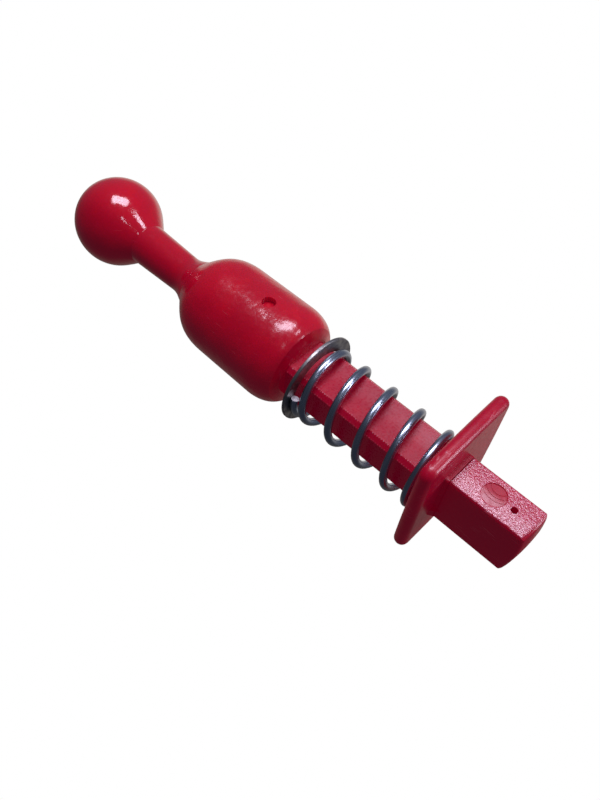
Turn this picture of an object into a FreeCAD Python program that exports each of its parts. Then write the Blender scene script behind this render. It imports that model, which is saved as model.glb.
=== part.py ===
import FreeCAD, Part
import math
import os

# Spring plunger knob: ball grip, capsule body and mouth bush slide as one on a guide shaft,
# against a coil spring that stands on the foot flange. A flat tongue hangs under the flange.
# Millimetres. Origin: flange underside on the shaft axis. +Z runs from the tongue to the ball.
# +X is the normal of the tongue's narrow face, which carries the round mark.

UP = FreeCAD.Vector(0, 0, 1)
OVERLAP = 1.0
UPRIGHT = 0.99

# guide shaft
SHAFT_HALF_X = 8.85
SHAFT_HALF_Y = 10.8
SHAFT_CHAMFER = 1.85
SHAFT_TOP_Z = 111.0
TENON_SIDE = 12.0
TENON_LENGTH = 4.0

# slot through the shaft and the pin that runs in it
PIN_RADIUS = 2.75
PIN_RECESS = 2.6
PIN_FAR_COVER = 2.0
PIN_Z = 95.8
SLOT_PLAY = 0.15
TRAVEL = 16.4

# foot: flange plate and tongue
FLANGE_HALF_X = 26.4
FLANGE_HALF_Y = 24.9
FLANGE_OFFSET_Y = 4.4
FLANGE_BOW = 0.85
FLANGE_THICKNESS = 5.8
FLANGE_CORNER = 4.8
FLANGE_RIM = 2.84
TONGUE_HALF_X = 12.6
TONGUE_HALF_Y = 7.8
TONGUE_END_Z = -35.0
TONGUE_EDGE = 1.0
TONGUE_END_EDGE = 1.9
DOME_RADIUS = 65.0
DOME_X = 3.0
DOME_Y = 3.5
COLLAR_HEIGHT = 1.8
COLLAR_STEP = 0.15
MARK_RADIUS = 4.75
MARK_DEPTH = 0.4
MARK_Z = -16.1
MARK_RIB_HALF = 0.3
MARK_RIB_RADII = (3.4, 5.0, 6.6)
HOLE_RADIUS = 1.4
HOLE_DEPTH = 9.0
HOLE_Z = -24.6
WEB_REACH = 2.2
WEB_HEIGHT = 3.8
WEB_HALF_X = 1.7
WEB_X = -9.0
WEB_TOP_Z = 0.5

# spring and washer
WIRE_RADIUS = 1.6
COIL_RADIUS = 15.2
COIL_X = -0.2
COIL_Y = -0.3
COIL_START_ANGLE = -79.0
TURNS = 5.65
TOP_CLOSED_TURNS = 0.45
SEAT_CLOSED_TURNS = 0.48
BLEND_TURNS = 0.8
CLOSED_PITCH = 1.7
POINTS_PER_TURN = 16
WASHER_LOW_Z = 66.4
WASHER_THICKNESS = 1.35
WASHER_OUTER = 19.6
WASHER_INNER = 13.5
WASHER_RIM = 0.3

# capsule body, mouth bush and ball stem, along the axis
BODY_TOP_RADIUS = 21.35
BODY_LOW_RADIUS = 21.65
CROWN_Z = 136.2
CROWN_RADIUS = 11.4
CROWN_SLOPE = 49.0
CROWN_EASE = 8.4
SHOULDER_TOP_Z = 114.9
SHOULDER_TOP_EASE = 12.2
SHOULDER_LOW_Z = 86.8
SHOULDER_LOW_EASE = 4.8
MOUTH_Z = 76.1
MOUTH_RADIUS = 17.9
MOUTH_SLOPE = 41.0
MOUTH_EASE = 3.0
BORE_RADIUS = 14.0
BORE_TOP_Z = 128.0
BUSH_SEAT_RADIUS = 15.2
BUSH_TOP_Z = 90.0
LIP_Z = 74.6
LIP_RADIUS = 13.9
BUSH_CLEARANCE = 0.1
SIDE_HOLE_RADIUS = 2.9
SPIGOT_RADIUS = 6.0
BALL_RADIUS = 19.7
BALL_Z = 190.0
BALL_MEET_RADIUS = 16.0
BALL_FILLET_DROP = 8.5
BALL_EASE = 5.0
NECK_EASE = 0.3
NECK_RADIUS_LOW = 8.5
NECK_RADIUS_HIGH = 9.35
FLARE_HEIGHT = 9.0
FLARE_SLOPE = 114.0
FLARE_EASE = 3.6


def vec(x, y, z):
    return FreeCAD.Vector(x, y, z)


def box(half_x, half_y, low_z, high_z):
    corner = vec(-half_x, -half_y, low_z)
    return Part.makeBox(2 * half_x, 2 * half_y, high_z - low_z, corner)


def revolve(edges):
    face = Part.Face(Part.Wire(edges))
    return face.revolve(vec(0, 0, 0), UP, 360)


def line(start, end):
    return Part.LineSegment(vec(start[0], 0, start[1]), vec(end[0], 0, end[1])).toShape()


def polyline(points):
    return [line(a, b) for a, b in zip(points, points[1:])]


def slanted(angle, length):
    """Offset in the XZ plane, this long, at an angle in degrees up from +X."""
    return (length * math.cos(math.radians(angle)), length * math.sin(math.radians(angle)))


def curve(start, leaving, arriving, end):
    """Cubic in the XZ plane; leaving and arriving are offsets from its ends to its control points."""
    poles = [
        vec(start[0], 0, start[1]),
        vec(start[0] + leaving[0], 0, start[1] + leaving[1]),
        vec(end[0] + arriving[0], 0, end[1] + arriving[1]),
        vec(end[0], 0, end[1]),
    ]
    cubic = Part.BezierCurve()
    cubic.setPoles(poles)
    return cubic.toShape()


def steepness(edge):
    """Height gained along an edge over its length: 1 for an upright edge, 0 for a level one."""
    return abs(edge.Vertexes[-1].Z - edge.Vertexes[0].Z) / edge.Length


def vertical_edges(solid):
    return [e for e in solid.Edges if steepness(e) > UPRIGHT]


def level_edges(solid):
    return [e for e in solid.Edges if steepness(e) < 1 - UPRIGHT]


def shaft_prism(growth, low_z, high_z):
    """Chamfered bar, grown outwards all round by growth."""
    bar = box(SHAFT_HALF_X + growth, SHAFT_HALF_Y + growth, low_z, high_z)
    return bar.makeChamfer(SHAFT_CHAMFER, vertical_edges(bar))


def x_rod(radius, low_x, high_x, z):
    return Part.makeCylinder(radius, high_x - low_x, vec(low_x, 0, z), vec(1, 0, 0))


def guide_shaft():
    bar = shaft_prism(0, FLANGE_THICKNESS, SHAFT_TOP_Z)
    tenon = box(TENON_SIDE / 2, TENON_SIDE / 2, FLANGE_THICKNESS - TENON_LENGTH, FLANGE_THICKNESS)
    return bar.fuse(tenon).cut(shaft_slot()).removeSplitter()


def shaft_slot():
    half_width = PIN_RADIUS + SLOT_PLAY
    reach = 2 * SHAFT_HALF_X
    top = x_rod(half_width, -reach, reach, PIN_Z)
    low = x_rod(half_width, -reach, reach, PIN_Z - TRAVEL)
    return top.fuse([low, box(reach, half_width, PIN_Z - TRAVEL, PIN_Z)])


def bowed_side(start, end):
    """Arc between two corners of the flange that stands out by FLANGE_BOW in the middle."""
    outwards = (end - start).cross(UP).normalize()
    middle = (start + end) / 2 + outwards * FLANGE_BOW
    return Part.Arc(start, middle, end).toShape()


def flange_outline():
    low_y = FLANGE_OFFSET_Y - FLANGE_HALF_Y
    high_y = FLANGE_OFFSET_Y + FLANGE_HALF_Y
    corners = [
        vec(-FLANGE_HALF_X, low_y, 0),
        vec(FLANGE_HALF_X, low_y, 0),
        vec(FLANGE_HALF_X, high_y, 0),
        vec(-FLANGE_HALF_X, high_y, 0),
    ]
    return Part.Wire([bowed_side(a, b) for a, b in zip(corners, corners[1:] + corners[:1])])


def flange_plate():
    plate = Part.Face(flange_outline()).extrude(vec(0, 0, FLANGE_THICKNESS))
    plate = plate.makeFillet(FLANGE_CORNER, vertical_edges(plate))
    return plate.makeFillet(FLANGE_RIM, level_edges(plate))


def tongue():
    blade = rounded_bar(0, TONGUE_END_Z).common(rounded_end())
    return blade.fuse(rounded_bar(COLLAR_STEP, -COLLAR_HEIGHT))


def rounded_bar(growth, low_z):
    bar = box(TONGUE_HALF_X + growth, TONGUE_HALF_Y + growth, low_z, OVERLAP)
    return bar.makeFillet(TONGUE_EDGE, vertical_edges(bar))


def rounded_end():
    """Block of the tongue's size with sharp upright edges, a domed end and a rounded end rim."""
    block = box(TONGUE_HALF_X, TONGUE_HALF_Y, TONGUE_END_Z, OVERLAP)
    block = block.common(Part.makeSphere(DOME_RADIUS, vec(DOME_X, DOME_Y, TONGUE_END_Z + DOME_RADIUS)))
    rim = [e for e in block.Edges if max(v.Z for v in e.Vertexes) < 0]
    return block.makeFillet(TONGUE_END_EDGE, rim)


def mark_pocket():
    """Shallow round pocket on the narrow face with curved ribs left standing in it."""
    floor_x = TONGUE_HALF_X - MARK_DEPTH
    open_x = TONGUE_HALF_X + OVERLAP
    pocket = x_rod(MARK_RADIUS, floor_x, open_x, MARK_Z)
    rib_top_x = TONGUE_HALF_X - MARK_DEPTH / 2
    for radius in MARK_RIB_RADII:
        rib = x_rod(radius + MARK_RIB_HALF, floor_x, rib_top_x, MARK_Z)
        rib = rib.cut(x_rod(radius - MARK_RIB_HALF, floor_x, rib_top_x, MARK_Z))
        rib.translate(vec(0, MARK_RADIUS, 0))
        pocket = pocket.cut(rib)
    return pocket


def web():
    """Small triangular web between the flange underside and the tongue's -Y side."""
    low_x = WEB_X - WEB_HALF_X
    root_y = COLLAR_STEP - TONGUE_HALF_Y
    tip_y = -TONGUE_HALF_Y - WEB_REACH
    points = [
        vec(low_x, root_y, WEB_TOP_Z),
        vec(low_x, tip_y, WEB_TOP_Z),
        vec(low_x, tip_y, 0),
        vec(low_x, root_y, -WEB_HEIGHT),
        vec(low_x, root_y, WEB_TOP_Z),
    ]
    return Part.Face(Part.makePolygon(points)).extrude(vec(2 * WEB_HALF_X, 0, 0))


def foot():
    solid = flange_plate().fuse([tongue(), web()])
    socket_low = FLANGE_THICKNESS - TENON_LENGTH
    socket = box(TENON_SIDE / 2, TENON_SIDE / 2, socket_low, FLANGE_THICKNESS)
    hole = x_rod(HOLE_RADIUS, TONGUE_HALF_X - HOLE_DEPTH, TONGUE_HALF_X + OVERLAP, HOLE_Z)
    return solid.cut(socket).cut(mark_pocket()).cut(hole).removeSplitter()


def spring_washer():
    outer = Part.makeCylinder(WASHER_OUTER, WASHER_THICKNESS, vec(0, 0, WASHER_LOW_Z))
    inner = Part.makeCylinder(WASHER_INNER, WASHER_THICKNESS, vec(0, 0, WASHER_LOW_Z))
    ring = outer.cut(inner)
    return ring.makeFillet(WASHER_RIM, level_edges(ring))


def mouth_bush():
    profile = polyline([
        (0, LIP_Z),
        (LIP_RADIUS, LIP_Z),
        (MOUTH_RADIUS, MOUTH_Z),
        (BUSH_SEAT_RADIUS, MOUTH_Z),
        (BUSH_SEAT_RADIUS, BUSH_TOP_Z),
        (0, BUSH_TOP_Z),
        (0, LIP_Z),
    ])
    return revolve(profile).cut(shaft_prism(BUSH_CLEARANCE, LIP_Z - OVERLAP, BUSH_TOP_Z + OVERLAP))


def capsule_body():
    crown = (CROWN_RADIUS, CROWN_Z)
    mouth = (MOUTH_RADIUS, MOUTH_Z)
    shoulder_top = (BODY_TOP_RADIUS, SHOULDER_TOP_Z)
    shoulder_low = (BODY_LOW_RADIUS, SHOULDER_LOW_Z)
    edges = [
        curve(mouth, slanted(MOUTH_SLOPE, MOUTH_EASE), (0, -SHOULDER_LOW_EASE), shoulder_low),
        line(shoulder_low, shoulder_top),
        curve(shoulder_top, (0, SHOULDER_TOP_EASE), slanted(-CROWN_SLOPE, CROWN_EASE), crown),
    ]
    edges += polyline([
        crown,
        (SPIGOT_RADIUS, CROWN_Z),
        (SPIGOT_RADIUS, BORE_TOP_Z),
        (BORE_RADIUS, BORE_TOP_Z),
        (BORE_RADIUS, BUSH_TOP_Z),
        (BUSH_SEAT_RADIUS, BUSH_TOP_Z),
        (BUSH_SEAT_RADIUS, MOUTH_Z),
        mouth,
    ])
    hole = x_rod(SIDE_HOLE_RADIUS, 0, 2 * BODY_LOW_RADIUS, PIN_Z)
    blind_seat = x_rod(PIN_RADIUS, PIN_FAR_COVER - BODY_TOP_RADIUS, 0, PIN_Z)
    return revolve(edges).cut(hole).cut(blind_seat)


def retaining_pin():
    return x_rod(PIN_RADIUS, PIN_FAR_COVER - BODY_TOP_RADIUS, BODY_TOP_RADIUS - PIN_RECESS, PIN_Z)


def ball_stem():
    base = (CROWN_RADIUS, CROWN_Z)
    flare_top = (NECK_RADIUS_LOW, CROWN_Z + FLARE_HEIGHT)
    drop = math.sqrt(BALL_RADIUS ** 2 - BALL_MEET_RADIUS ** 2)
    ball_low = (BALL_MEET_RADIUS, BALL_Z - drop)
    neck_top = (NECK_RADIUS_HIGH, ball_low[1] - BALL_FILLET_DROP)
    ball_slope = math.degrees(math.atan2(BALL_MEET_RADIUS, drop))
    pole = (0, BALL_Z + BALL_RADIUS)
    ball_arc = Part.Arc(
        vec(ball_low[0], 0, ball_low[1]), vec(BALL_RADIUS, 0, BALL_Z), vec(pole[0], 0, pole[1])
    )
    edges = [
        curve(base, slanted(FLARE_SLOPE, FLARE_EASE), (0, -FLARE_EASE), flare_top),
        line(flare_top, neck_top),
        curve(neck_top, (0, NECK_EASE), slanted(180 + ball_slope, BALL_EASE), ball_low),
        ball_arc.toShape(),
    ]
    edges += polyline([
        pole,
        (0, BORE_TOP_Z),
        (SPIGOT_RADIUS, BORE_TOP_Z),
        (SPIGOT_RADIUS, CROWN_Z),
        base,
    ])
    return revolve(edges)


def opened(turns, closed):
    """Turns spent at full pitch, counted as the pitch opens evenly over the blend after closed turns."""
    past = min(max(turns - closed, 0.0), BLEND_TURNS)
    return past ** 2 / (2 * BLEND_TURNS) + max(turns - closed - BLEND_TURNS, 0.0)


def coil_point(turns):
    """Wire centre this many turns below the washer. The coil is right-handed and rests to one side."""
    fall = WASHER_LOW_Z - FLANGE_THICKNESS - 2 * WIRE_RADIUS
    seat_opened = opened(TURNS, SEAT_CLOSED_TURNS)
    closing = seat_opened - opened(TURNS - turns, SEAT_CLOSED_TURNS)
    spread = opened(turns, TOP_CLOSED_TURNS) + closing - turns
    total_spread = opened(TURNS, TOP_CLOSED_TURNS) + seat_opened - TURNS
    drop = CLOSED_PITCH * turns + (fall - CLOSED_PITCH * TURNS) * spread / total_spread
    angle = math.radians(COIL_START_ANGLE) - 2 * math.pi * turns
    x = COIL_X + COIL_RADIUS * math.cos(angle)
    y = COIL_Y + COIL_RADIUS * math.sin(angle)
    return vec(x, y, WASHER_LOW_Z - WIRE_RADIUS - drop)


def coil_spring():
    steps = round(TURNS * POINTS_PER_TURN)
    points = [coil_point(TURNS * i / steps) for i in range(steps + 1)]
    centre_line = Part.BSplineCurve()
    centre_line.interpolate(points)
    path = Part.Wire(centre_line.toShape())
    start_direction = points[1] - points[0]
    section = Part.Wire(Part.makeCircle(WIRE_RADIUS, points[0], start_direction))
    return path.makePipeShell([section], True, True)


NODES = {
    "ball_stem": ball_stem,
    "capsule_body": capsule_body,
    "mouth_bush": mouth_bush,
    "retaining_pin": retaining_pin,
    "spring_washer": spring_washer,
    "coil_spring": coil_spring,
    "guide_shaft": guide_shaft,
    "foot": foot,
}


def main():
    os.makedirs("parts", exist_ok=True)
    for name, build in NODES.items():
        build().exportStep(f"parts/{name}.step")


main()
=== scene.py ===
import bpy
import math
from mathutils import Matrix, Vector


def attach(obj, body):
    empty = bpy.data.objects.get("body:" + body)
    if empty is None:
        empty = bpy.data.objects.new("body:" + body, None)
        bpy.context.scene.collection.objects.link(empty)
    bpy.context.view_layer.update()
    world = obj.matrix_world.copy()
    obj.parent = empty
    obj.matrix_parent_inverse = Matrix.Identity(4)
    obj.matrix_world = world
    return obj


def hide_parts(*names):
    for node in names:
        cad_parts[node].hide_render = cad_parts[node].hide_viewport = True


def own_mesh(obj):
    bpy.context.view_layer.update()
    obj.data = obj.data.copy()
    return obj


# Looks of the spring plunger knob, in the CAD frame. Metres, +Z from the tongue to the ball.

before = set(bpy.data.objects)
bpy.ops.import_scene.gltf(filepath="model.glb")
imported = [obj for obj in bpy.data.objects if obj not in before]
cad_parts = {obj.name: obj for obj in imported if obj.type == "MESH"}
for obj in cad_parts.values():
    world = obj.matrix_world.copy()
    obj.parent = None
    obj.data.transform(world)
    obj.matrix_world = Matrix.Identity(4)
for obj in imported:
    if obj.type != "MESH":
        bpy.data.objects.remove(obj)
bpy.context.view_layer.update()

# camera
CAMERA_AZIMUTH = 58.8
CAMERA_ELEVATION = -20.9
CAMERA_ROLL = -50.75
CAMERA_DISTANCE = 0.3151
CAMERA_AIM = Vector((-0.00561, -0.00926, 0.0668))
CAMERA_LENS = 35.46
SENSOR = 36.0
AXIS_TILT = 38.2

# spring
WIRE_RADIUS = 0.0016
COIL_RADIUS = 0.0152
COIL_X = -0.0002
COIL_Y = -0.0003
COIL_START_ANGLE = -79.0
TURNS = 5.65
TOP_CLOSED_TURNS = 0.45
SEAT_CLOSED_TURNS = 0.48
BLEND_TURNS = 0.8
CLOSED_PITCH = 0.0017
COIL_TOP = 0.0664
COIL_SEAT = 0.0058
STEPS_PER_TURN = 56
WIRE_SIDES = 24

# floor
FLOOR_SIZE = 1.2
FLOOR_Z = -0.0356
FLOOR_PALE = (0.86, 0.86, 0.86, 1.0)
FLOOR_SHADE = (0.80, 0.80, 0.80, 1.0)
FLOOR_GLOW = 0.5

# shapes that the materials refer to; a fade is the width over which a mask goes from 0 to 1
SHAFT_HALF_X = 0.00885
SHAFT_HALF_Y = 0.0108
SHAFT_CHAMFER = 0.00185
DOT_PITCH = 0.00105
TONGUE_FACE_X = 0.0125
TONGUE_HALF_Y = 0.0078
COLLAR_LOW_Z = -0.0018
MARK_Z = -0.0161
MARK_RADIUS = 0.00475
MARK_FADE = 0.0003
FACE_FADE = 0.0002
COLLAR_FADE = 0.0004
MIDDLE_FADE = 0.001
WASHER_RING_PITCH = 0.00045

# how far a face rises from one side to the other, as bump, like a slightly bowed moulding
SHAFT_FACE_BOW = 0.0008
TONGUE_FACE_BOW = 0.0025

# materials
PLASTIC_IOR = 1.49
CRIMSON = (0.50, 0.0, 0.013, 1.0)
CRIMSON_DEEP = (0.42, 0.0, 0.012, 1.0)
CRIMSON_WARM = (0.56, 0.0, 0.006, 1.0)
SATIN_RED = (0.39, 0.0, 0.018, 1.0)
SATIN_DEEP = (0.33, 0.0, 0.016, 1.0)
CHALKY = (0.85, 0.35, 0.40, 1.0)
# painted highlight colour for the grain peaks on the tongue's narrow faces
PAINTED_SPARKLE_PINK = (0.85, 0.30, 0.45, 1.0)
# painted glint colour for the tick marks on the shaft's corners
PAINTED_TICK_GLINT = (0.85, 0.30, 0.36, 1.0)
# subsurface is the red plastic's own translucency; the red emission is painted glow that lifts its shaded
# sides
SUBSURFACE_AND_PAINTED_GLOW = {
    "Subsurface Weight": 0.25, "Subsurface Radius": (0.010, 0.0008, 0.0008), "Subsurface Scale": 1.0,
    "Emission Color": (1.0, 0.0, 0.08, 1.0), "Emission Strength": 0.065,
}
STEEL_BLUE = (0.50, 0.58, 0.68, 1.0)
STEEL_DARK = (0.40, 0.47, 0.56, 1.0)
CUT_STEEL = (0.90, 0.90, 0.90, 1.0)
CUT_SHADE = (0.70, 0.70, 0.72, 1.0)
ZINC = (0.42, 0.42, 0.40, 1.0)
ZINC_DARK = (0.22, 0.22, 0.22, 1.0)

# lights; directions are parts along the shaft as seen, across it, and at the camera
LIGHT_DISTANCE = 1.1
VIOLET = (0.87, 0.82, 1.0)
LIGHTS = {
    "key_window": {
        "direction": (-0.36, 0.67, 0.65), "length_axis": (0.65, 0.33, -0.09),
        "size": (0.70, 0.40), "power": 10.5,
    },
    "side_window": {
        "direction": (0.843, 0.494, 0.214), "length_axis": (0.26, -0.29, -0.48),
        "size": (0.56, 0.18), "power": 4.0,
    },
    "high_window": {
        "direction": (0.275, 0.725, 0.63), "length_axis": (0.05, 0.74, -0.68),
        "size": (0.28, 0.10), "power": 1.15,
    },
    "lamp": {
        "direction": (0.185, 0.178, 0.967), "length_axis": (0.0, 1.0, 0.0),
        "size": (0.06, 0.06), "power": 0.13,
    },
}
COOL = (0.70, 0.74, 1.0)
PAPER = (1.0, 0.90, 0.84)
GLOW_BELOW = 0.05
GLOW_ABOVE = 0.18
PAPER_STRENGTH = 0.5
PAPER_SHARE_BELOW = 0.12


# node helpers

def add(tree, kind, inputs=None, **settings):
    item = tree.nodes.new(kind)
    for key, value in settings.items():
        setattr(item, key, value)
    for key, value in (inputs or {}).items():
        if isinstance(value, bpy.types.NodeSocket):
            tree.links.new(value, item.inputs[key])
        else:
            item.inputs[key].default_value = value
    return item


def maths(tree, operation, first, second=0.0):
    item = add(tree, "ShaderNodeMath", {0: first, 1: second}, operation=operation)
    return item.outputs[0]


def between(tree, value, low, high, to_low=0.0, to_high=1.0):
    """Smooth step from to_low to to_high as value goes from low to high."""
    item = add(
        tree, "ShaderNodeMapRange",
        {"Value": value, "From Min": low, "From Max": high, "To Min": to_low, "To Max": to_high},
        interpolation_type="SMOOTHSTEP",
    )
    return item.outputs["Result"]


def noise(tree, coords, scale, detail=3.0, roughness=0.5, distortion=0.0):
    item = add(tree, "ShaderNodeTexNoise", {
        "Vector": coords, "Scale": scale, "Detail": detail,
        "Roughness": roughness, "Distortion": distortion,
    })
    return item.outputs["Fac"]


def stretched(tree, coords, scale, turn=(0.0, 0.0, 0.0)):
    rotation = tuple(math.radians(a) for a in turn)
    item = add(tree, "ShaderNodeMapping", {"Vector": coords, "Scale": scale, "Rotation": rotation})
    return item.outputs["Vector"]


def blend_colour(tree, factor, first, second):
    item = add(tree, "ShaderNodeMix", {"Factor": factor}, data_type="RGBA")
    for socket, value in zip((item.inputs[6], item.inputs[7]), (first, second)):
        if isinstance(value, bpy.types.NodeSocket):
            tree.links.new(value, socket)
        else:
            socket.default_value = value
    return item.outputs[2]


def bump(tree, height, distance, strength=1.0, normal=None):
    inputs = {"Height": height, "Distance": distance, "Strength": strength}
    if normal is not None:
        inputs["Normal"] = normal
    return add(tree, "ShaderNodeBump", inputs).outputs["Normal"]


def new_material(name):
    material = bpy.data.materials.new(name)
    material.use_nodes = True
    tree = material.node_tree
    tree.nodes.clear()
    surface = add(tree, "ShaderNodeBsdfPrincipled")
    output = add(tree, "ShaderNodeOutputMaterial")
    tree.links.new(surface.outputs[0], output.inputs["Surface"])
    coords = add(tree, "ShaderNodeTexCoord").outputs["Object"]
    return material, tree, surface, coords


def connect(tree, surface, values):
    for key, value in values.items():
        if isinstance(value, bpy.types.NodeSocket):
            tree.links.new(value, surface.inputs[key])
        else:
            surface.inputs[key].default_value = value


def scratch_mask(tree, coords, turn, density, length_scale, threshold):
    """Thin straight marks, long along one turned axis and broken up by a slow noise."""
    turned = stretched(tree, coords, (density, length_scale, length_scale), turn)
    lines = noise(tree, turned, scale=1.0, detail=1.0)
    patches = noise(tree, coords, scale=90.0, detail=1.0)
    fine = between(tree, lines, threshold, threshold + 0.05)
    return maths(tree, "MULTIPLY", fine, between(tree, patches, 0.5, 0.62))


def plastic_base(tree, coords, base=CRIMSON, deep=CRIMSON_DEEP, warm=CRIMSON_WARM):
    slow = noise(tree, coords, scale=45.0, detail=2.0)
    cloud = noise(tree, coords, scale=140.0, detail=4.0, roughness=0.6)
    colour = blend_colour(tree, between(tree, slow, 0.35, 0.65), deep, base)
    return blend_colour(tree, between(tree, cloud, 0.52, 0.75, to_high=0.45), colour, warm)


def gloss_plastic(name, roughness=0.14, ripple=0.45, coat=0.7, base=CRIMSON, deep=CRIMSON_DEEP):
    """Polished moulding with fine scratches; ripple is how uneven its skin is."""
    material, tree, surface, coords = new_material(name)
    scratches = scratch_mask(
        tree, coords, turn=(20.0, 35.0, 60.0), density=3200.0, length_scale=110.0, threshold=0.72
    )
    crossing = scratch_mask(
        tree, coords, turn=(75.0, -25.0, 10.0), density=2800.0, length_scale=140.0, threshold=0.73
    )
    marks = maths(tree, "MAXIMUM", scratches, crossing)
    mottle = noise(tree, coords, scale=420.0, detail=3.0, roughness=0.6)
    rough = between(tree, mottle, 0.3, 0.75, roughness - 0.04, roughness + 0.08)
    rough = maths(tree, "ADD", rough, maths(tree, "MULTIPLY", marks, 0.25))
    swell = noise(tree, coords, scale=130.0, detail=2.0)
    normal = bump(tree, swell, distance=0.00035, strength=ripple)
    normal = bump(tree, mottle, distance=0.0001, strength=ripple, normal=normal)
    normal = bump(tree, marks, distance=0.00003, strength=0.4, normal=normal)
    body = plastic_base(tree, coords, base, deep)
    connect(tree, surface, {
        "Base Color": blend_colour(tree, maths(tree, "MULTIPLY", marks, 0.10), body, CHALKY),
        "Roughness": rough, "Normal": normal,
        "IOR": PLASTIC_IOR, "Coat Weight": coat, "Coat Roughness": 0.6 * roughness, "Coat Normal": normal,
    })
    connect(tree, surface, SUBSURFACE_AND_PAINTED_GLOW)
    return material


def dot_row(tree, past, pitch_wave, uneven):
    """Row of small tick marks where a face meets a chamfer, at past = 0; the shaft uses it as relief and
    as a painted glint.
    """
    band = between(tree, maths(tree, "ABSOLUTE", past), 0.00012, 0.00038, 1.0, 0.0)
    dots = maths(tree, "MULTIPLY", between(tree, pitch_wave, 0.1, 0.8), between(tree, uneven, 0.38, 0.6))
    return maths(tree, "MULTIPLY", dots, band)


def shaft_plastic(name):
    """Satin bar: drawn lines along it, rows of tick marks on its corners that are painted pale as glints,
    faces that rise to one side.
    """
    material, tree, surface, coords = new_material(name)
    split = add(tree, "ShaderNodeSeparateXYZ", {0: coords})
    x, y, z = (split.outputs[axis] for axis in "XYZ")
    past_x = maths(tree, "SUBTRACT", maths(tree, "ABSOLUTE", x), SHAFT_HALF_X - SHAFT_CHAMFER)
    past_y = maths(tree, "SUBTRACT", maths(tree, "ABSOLUTE", y), SHAFT_HALF_Y - SHAFT_CHAMFER)
    wave = maths(tree, "SINE", maths(tree, "MULTIPLY", z, 2 * math.pi / DOT_PITCH))
    uneven = noise(tree, coords, scale=900.0, detail=2.0)
    wide_row = dot_row(tree, past_y, wave, uneven)
    faint_row = maths(tree, "MULTIPLY", dot_row(tree, past_x, wave, uneven), 0.35)
    dots = maths(tree, "MAXIMUM", wide_row, faint_row)
    drawn = stretched(tree, coords, (1800.0, 1800.0, 18.0))
    lines = noise(tree, drawn, scale=1.0, detail=2.0)
    grain = noise(tree, coords, scale=1100.0, detail=3.0, roughness=0.6)
    rise = between(tree, y, -0.2 * SHAFT_HALF_Y, 1.3 * SHAFT_HALF_Y)
    normal = bump(tree, rise, distance=SHAFT_FACE_BOW)
    normal = bump(tree, lines, distance=0.00005, strength=0.35, normal=normal)
    normal = bump(tree, grain, distance=0.00004, strength=0.6, normal=normal)
    normal = bump(tree, dots, distance=0.00015, strength=0.9, normal=normal)
    colour = plastic_base(tree, coords, SATIN_RED, SATIN_DEEP, CRIMSON)
    connect(tree, surface, {
        # painted highlight: the corner tick marks are paled towards pink-white as if they caught the light
        "Base Color": blend_colour(tree, maths(tree, "MULTIPLY", dots, 0.75), colour, PAINTED_TICK_GLINT),
        "Roughness": between(tree, grain, 0.3, 0.7, 0.24, 0.36), "Normal": normal,
        "IOR": PLASTIC_IOR, "Coat Weight": 0.1, "Coat Roughness": 0.25,
    })
    connect(tree, surface, SUBSURFACE_AND_PAINTED_GLOW)
    return material


def off_the_mark(tree, x, y, z):
    """0 in the round mark, which is only on the +X side, and 1 elsewhere."""
    offset = maths(tree, "SUBTRACT", z, MARK_Z)
    squares = maths(tree, "ADD", maths(tree, "MULTIPLY", y, y), maths(tree, "MULTIPLY", offset, offset))
    outside = between(tree, maths(tree, "SQRT", squares), MARK_RADIUS, MARK_RADIUS + MARK_FADE)
    return maths(tree, "MAXIMUM", outside, between(tree, x, 0.0, MIDDLE_FADE, to_low=1.0, to_high=0.0))


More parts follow.
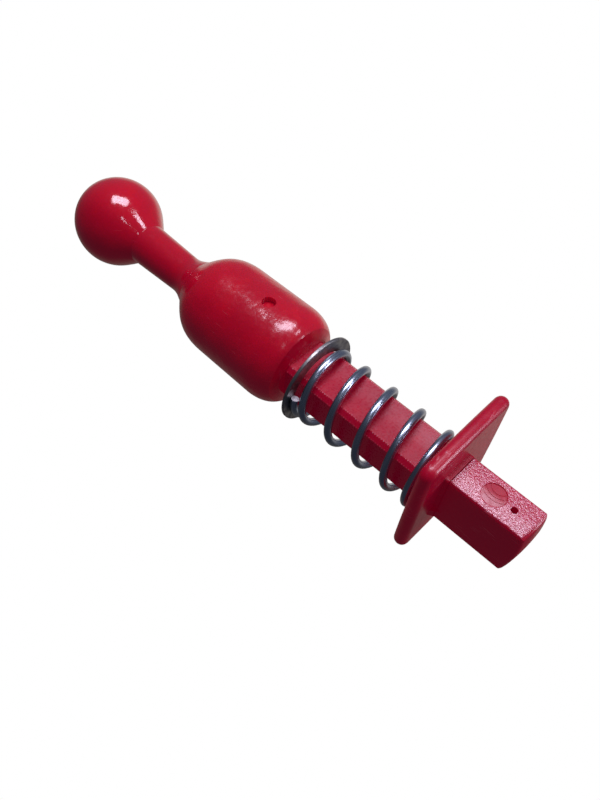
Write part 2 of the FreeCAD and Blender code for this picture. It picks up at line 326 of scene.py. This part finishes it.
def foot_plastic(name):
    """Smooth moulding whose tongue has coarse grain on its narrow faces, outside the round mark, its grain
    peaks paled as painted sparkle.
    """
    material, tree, surface, coords = new_material(name)
    split = add(tree, "ShaderNodeSeparateXYZ", {0: coords})
    x, y, z = (split.outputs[axis] for axis in "XYZ")
    on_face = between(tree, maths(tree, "ABSOLUTE", x), TONGUE_FACE_X - FACE_FADE, TONGUE_FACE_X)
    below = between(tree, z, COLLAR_LOW_Z - COLLAR_FADE, COLLAR_LOW_Z, to_low=1.0, to_high=0.0)
    grained = maths(tree, "MULTIPLY", maths(tree, "MULTIPLY", on_face, below), off_the_mark(tree, x, y, z))
    peel = noise(tree, coords, scale=1350.0, detail=2.0, roughness=0.55, distortion=0.3)
    coarse = noise(tree, coords, scale=800.0, detail=2.0)
    height = maths(tree, "ADD", peel, maths(tree, "MULTIPLY", coarse, 0.5))
    height = maths(tree, "MULTIPLY", height, grained)
    rise = between(tree, y, -1.9 * TONGUE_HALF_Y, 0.1 * TONGUE_HALF_Y)
    rise = maths(tree, "MULTIPLY", rise, below)
    # painted highlight: the grain's peaks on the tongue's narrow faces are paled towards pinkish white, as
    # if they sparkled
    painted_sparkle = maths(tree, "MULTIPLY", between(tree, peel, 0.42, 0.62), grained)
    fine = noise(tree, coords, scale=500.0, detail=3.0, roughness=0.6)
    scuffs = scratch_mask(
        tree, coords, turn=(10.0, 40.0, 25.0), density=1900.0, length_scale=160.0, threshold=0.62
    )
    normal = bump(tree, height, distance=0.00024)
    normal = bump(tree, rise, distance=TONGUE_FACE_BOW, normal=normal)
    normal = bump(tree, fine, distance=0.00005, strength=0.5, normal=normal)
    normal = bump(tree, scuffs, distance=0.00006, strength=0.7, normal=normal)
    rough = between(tree, fine, 0.3, 0.7, 0.30, 0.40)
    colour = plastic_base(tree, coords, SATIN_RED, SATIN_DEEP, CRIMSON)
    colour = blend_colour(tree, maths(tree, "MULTIPLY", painted_sparkle, 0.35), colour, PAINTED_SPARKLE_PINK)
    connect(tree, surface, {
        "Base Color": blend_colour(tree, maths(tree, "MULTIPLY", scuffs, 0.25), colour, CHALKY),
        "Roughness": rough, "Normal": normal, "IOR": PLASTIC_IOR,
        "Coat Weight": between(tree, grained, 0.0, 1.0, 0.1, 1.0),
        "Coat Roughness": 0.18, "Coat Normal": normal,
    })
    connect(tree, surface, SUBSURFACE_AND_PAINTED_GLOW)
    return material


def wire_steel(name):
    """Drawn wire: streaks run along the wire, read from the spring's own UV map."""
    material, tree, surface, coords = new_material(name)
    uv = add(tree, "ShaderNodeUVMap", uv_map="along").outputs["UV"]
    streaks = noise(tree, stretched(tree, uv, (6.0, 8.0, 1.0)), scale=1.0, detail=3.0)
    stains = noise(tree, coords, scale=260.0, detail=3.0)
    colour = blend_colour(tree, between(tree, streaks, 0.35, 0.65), STEEL_DARK, STEEL_BLUE)
    colour = blend_colour(tree, between(tree, stains, 0.6, 0.8, to_high=0.5), colour, STEEL_DARK)
    rough = between(tree, streaks, 0.3, 0.7, 0.25, 0.29)
    connect(tree, surface, {
        "Base Color": colour, "Metallic": 1.0, "Roughness": rough,
        "Normal": bump(tree, streaks, distance=0.00002, strength=0.1),
    })
    return material


def cut_steel(name):
    """Bright sheared end of the wire."""
    material, tree, surface, coords = new_material(name)
    shear = noise(tree, stretched(tree, coords, (3000.0, 600.0, 600.0)), scale=1.0, detail=2.0)
    connect(tree, surface, {
        "Base Color": blend_colour(tree, between(tree, shear, 0.35, 0.65), CUT_SHADE, CUT_STEEL),
        "Metallic": 1.0, "Roughness": 0.6, "Normal": bump(tree, shear, distance=0.00004, strength=0.5),
    })
    return material


def turned_zinc(name):
    """Zinc-plated ring with faint turning rings and dull patches."""
    material, tree, surface, coords = new_material(name)
    split = add(tree, "ShaderNodeSeparateXYZ", {0: coords})
    x, y = split.outputs["X"], split.outputs["Y"]
    squares = maths(tree, "ADD", maths(tree, "MULTIPLY", x, x), maths(tree, "MULTIPLY", y, y))
    radius = maths(tree, "SQRT", squares)
    rings = maths(tree, "SINE", maths(tree, "MULTIPLY", radius, 2 * math.pi / WASHER_RING_PITCH))
    cloud = noise(tree, coords, scale=300.0, detail=4.0, roughness=0.6)
    colour = blend_colour(tree, between(tree, cloud, 0.35, 0.7), ZINC, ZINC_DARK)
    rough = between(tree, cloud, 0.3, 0.7, 0.32, 0.50)
    normal = bump(tree, rings, distance=0.00001, strength=0.5)
    normal = bump(tree, cloud, distance=0.00005, strength=0.5, normal=normal)
    connect(tree, surface, {
        "Base Color": colour, "Metallic": 1.0, "Roughness": rough, "Normal": normal,
    })
    return material


# spring

def opened(turns, closed):
    """Turns spent at full pitch, counted as the pitch opens evenly over the blend after closed turns."""
    past = min(max(turns - closed, 0.0), BLEND_TURNS)
    return past ** 2 / (2 * BLEND_TURNS) + max(turns - closed - BLEND_TURNS, 0.0)


def coil_point(turns):
    """Wire centre this many turns below the washer. The coil is right-handed and rests to one side."""
    fall = COIL_TOP - COIL_SEAT - 2 * WIRE_RADIUS
    seat_opened = opened(TURNS, SEAT_CLOSED_TURNS)
    closing = seat_opened - opened(TURNS - turns, SEAT_CLOSED_TURNS)
    spread = opened(turns, TOP_CLOSED_TURNS) + closing - turns
    total_spread = opened(TURNS, TOP_CLOSED_TURNS) + seat_opened - TURNS
    drop = CLOSED_PITCH * turns + (fall - CLOSED_PITCH * TURNS) * spread / total_spread
    angle = math.radians(COIL_START_ANGLE) - 2 * math.pi * turns
    x = COIL_X + COIL_RADIUS * math.cos(angle)
    y = COIL_Y + COIL_RADIUS * math.sin(angle)
    return Vector((x, y, COIL_TOP - WIRE_RADIUS - drop))


def wire_ring(turns):
    """Points round the wire at this turn, in the plane across it."""
    step = 0.5 / STEPS_PER_TURN
    centre = coil_point(turns)
    forward = (coil_point(turns + step) - coil_point(turns - step)).normalized()
    outward = Vector((centre.x - COIL_X, centre.y - COIL_Y, 0.0)).normalized()
    side = forward.cross(outward).normalized()
    outward = side.cross(forward)
    angles = [2 * math.pi * k / WIRE_SIDES for k in range(WIRE_SIDES)]
    return [centre + WIRE_RADIUS * (math.cos(a) * outward + math.sin(a) * side) for a in angles]


def coil_spring():
    steps = round(TURNS * STEPS_PER_TURN)
    verts = []
    for i in range(steps + 1):
        verts += wire_ring(TURNS * i / steps)
    faces = []
    for i in range(steps):
        for k in range(WIRE_SIDES):
            after = (k + 1) % WIRE_SIDES
            low = i * WIRE_SIDES
            high = low + WIRE_SIDES
            faces.append((low + k, high + k, high + after, low + after))
    faces.append(tuple(range(WIRE_SIDES)))
    faces.append(tuple(reversed(range(steps * WIRE_SIDES, (steps + 1) * WIRE_SIDES))))
    mesh = bpy.data.meshes.new("spring_wire")
    mesh.from_pydata(verts, [], faces)
    for polygon in mesh.polygons:
        polygon.use_smooth = len(polygon.vertices) == 4
        polygon.material_index = 0 if polygon.use_smooth else 1
    write_wire_uv(mesh, steps)
    spring = bpy.data.objects.new("spring_wire", mesh)
    bpy.context.collection.objects.link(spring)
    return spring


def write_wire_uv(mesh, steps):
    layer = mesh.uv_layers.new(name="along")
    for loop in mesh.loops:
        ring, side = divmod(loop.vertex_index, WIRE_SIDES)
        layer.data[loop.index].uv = (TURNS * ring / steps, side / WIRE_SIDES)


# studio

def camera_rotation():
    azimuth = math.radians(CAMERA_AZIMUTH)
    elevation = math.radians(CAMERA_ELEVATION)
    back = Vector((
        math.sin(azimuth) * math.cos(elevation),
        -math.cos(azimuth) * math.cos(elevation),
        math.sin(elevation),
    ))
    right = Vector((0, 0, 1)).cross(back).normalized()
    up = back.cross(right)
    level = Matrix((right, up, back)).transposed()
    return level @ Matrix.Rotation(math.radians(CAMERA_ROLL), 3, "Z")


def place_camera():
    data = bpy.data.cameras.new("camera")
    data.lens = CAMERA_LENS
    data.sensor_fit = "AUTO"
    data.sensor_width = SENSOR
    data.clip_start = 0.01
    camera = bpy.data.objects.new("camera", data)
    bpy.context.collection.objects.link(camera)
    rotation = camera_rotation()
    place = CAMERA_AIM + rotation.col[2] * CAMERA_DISTANCE
    camera.matrix_world = Matrix.Translation(place) @ rotation.to_4x4()
    bpy.context.scene.camera = camera


def view_direction(along, across, towards):
    """Unit vector in the CAD frame from parts along the shaft as seen, across it, and at the camera."""
    rotation = camera_rotation()
    tilt = math.radians(AXIS_TILT)
    right, up, back = rotation.col[0], rotation.col[1], rotation.col[2]
    shaft = math.cos(tilt) * right - math.sin(tilt) * up
    side = math.sin(tilt) * right + math.cos(tilt) * up
    return (along * shaft + across * side + towards * back).normalized()


def softbox(name, direction, length_axis, size, power):
    """Rectangular lamp aimed at the part, its long side along length_axis."""
    data = bpy.data.lights.new(name, "AREA")
    data.shape = "RECTANGLE"
    data.size, data.size_y = size
    data.energy = power
    data.color = VIOLET
    light = bpy.data.objects.new(name, data)
    bpy.context.collection.objects.link(light)
    width_axis = direction.cross(length_axis).normalized()
    turn = Matrix((width_axis.cross(direction), width_axis, direction)).transposed()
    light.matrix_world = Matrix.Translation(CAMERA_AIM + direction * LIGHT_DISTANCE) @ turn.to_4x4()


def place_lights():
    for name, light in LIGHTS.items():
        direction = view_direction(*light["direction"])
        length_axis = view_direction(*light["length_axis"])
        softbox(name, direction, length_axis, light["size"], light["power"])


def facing(tree, coords, direction):
    item = add(tree, "ShaderNodeVectorMath", {0: coords, 1: direction}, operation="DOT_PRODUCT")
    return item.outputs["Value"]


def paint_world():
    """White backdrop for the camera; for the object, dim light from above and pale paper behind it."""
    world = bpy.data.worlds.new("studio")
    world.use_nodes = True
    bpy.context.scene.world = world
    tree = world.node_tree
    tree.nodes.clear()
    coords = add(tree, "ShaderNodeTexCoord").outputs["Generated"]
    height = facing(tree, coords, view_direction(0.0, 1.0, 0.0))
    behind = facing(tree, coords, view_direction(0.0, 0.0, -1.0))
    above = between(tree, height, -0.5, 0.9, GLOW_BELOW, GLOW_ABOVE)
    paper = between(tree, behind, 0.5, 0.95, to_high=PAPER_STRENGTH)
    paper = maths(tree, "MULTIPLY", paper, between(tree, height, -0.08, 0.22, to_low=PAPER_SHARE_BELOW))
    colour = blend_colour(tree, between(tree, behind, 0.4, 0.8), (*COOL, 1.0), (*PAPER, 1.0))
    seen = add(tree, "ShaderNodeLightPath").outputs["Is Camera Ray"]
    strength = maths(tree, "MAXIMUM", maths(tree, "ADD", above, paper), seen)
    colour = blend_colour(tree, seen, colour, (1.0, 1.0, 1.0, 1.0))
    sky = add(tree, "ShaderNodeBackground", {"Color": colour, "Strength": strength})
    output = add(tree, "ShaderNodeOutputWorld")
    tree.links.new(sky.outputs[0], output.inputs["Surface"])


def floor():
    """Pale ground under the tongue, seen only from above. It doesn't light or shade the part."""
    half = FLOOR_SIZE / 2
    corners = [(-half, -half), (half, -half), (half, half), (-half, half)]
    mesh = bpy.data.meshes.new("floor")
    mesh.from_pydata([(x, y, FLOOR_Z) for x, y in corners], [], [(0, 1, 2, 3)])
    ground = bpy.data.objects.new("floor", mesh)
    bpy.context.collection.objects.link(ground)
    ground.visible_diffuse = False
    ground.visible_glossy = False
    ground.visible_transmission = False
    ground.visible_shadow = False
    mesh.materials.append(floor_material())


def floor_material():
    material, tree, surface, coords = new_material("pale_floor")
    speck = noise(tree, coords, scale=60.0)
    colour = blend_colour(tree, speck, FLOOR_SHADE, FLOOR_PALE)
    connect(tree, surface, {
        "Base Color": colour, "Roughness": 0.8, "Emission Color": colour, "Emission Strength": FLOOR_GLOW,
    })
    clear = add(tree, "ShaderNodeBsdfTransparent")
    back = add(tree, "ShaderNodeNewGeometry").outputs["Backfacing"]
    mixed = add(tree, "ShaderNodeMixShader", {0: back})
    tree.links.new(surface.outputs[0], mixed.inputs[1])
    tree.links.new(clear.outputs[0], mixed.inputs[2])
    output = next(n for n in tree.nodes if n.bl_idname == "ShaderNodeOutputMaterial")
    tree.links.new(mixed.outputs[0], output.inputs["Surface"])
    return material


# assembly

def paint(node_name, material):
    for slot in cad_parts[node_name].material_slots:
        slot.material = material


def paint_nodes():
    paint("ball_stem", gloss_plastic("red_gloss"))
    paint("capsule_body", gloss_plastic("red_capsule", roughness=0.22, ripple=1.0, coat=0.6))
    paint("mouth_bush", gloss_plastic("red_guide", roughness=0.22, ripple=0.5, coat=0.3))
    pin = gloss_plastic("red_pin", roughness=0.22, ripple=0.5, coat=0.3, base=CRIMSON_WARM, deep=CRIMSON)
    paint("retaining_pin", pin)
    paint("guide_shaft", shaft_plastic("red_shaft"))
    paint("foot", foot_plastic("red_foot"))
    paint("spring_washer", turned_zinc("washer_zinc"))


def add_spring():
    spring = coil_spring()
    spring.data.materials.append(wire_steel("spring_steel"))
    spring.data.materials.append(cut_steel("cut_steel"))
    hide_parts("coil_spring")
    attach(spring, "fixed")
    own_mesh(spring)


paint_nodes()
add_spring()
floor()
paint_world()
place_lights()
place_camera()
bpy.context.scene.view_settings.view_transform = "Standard"
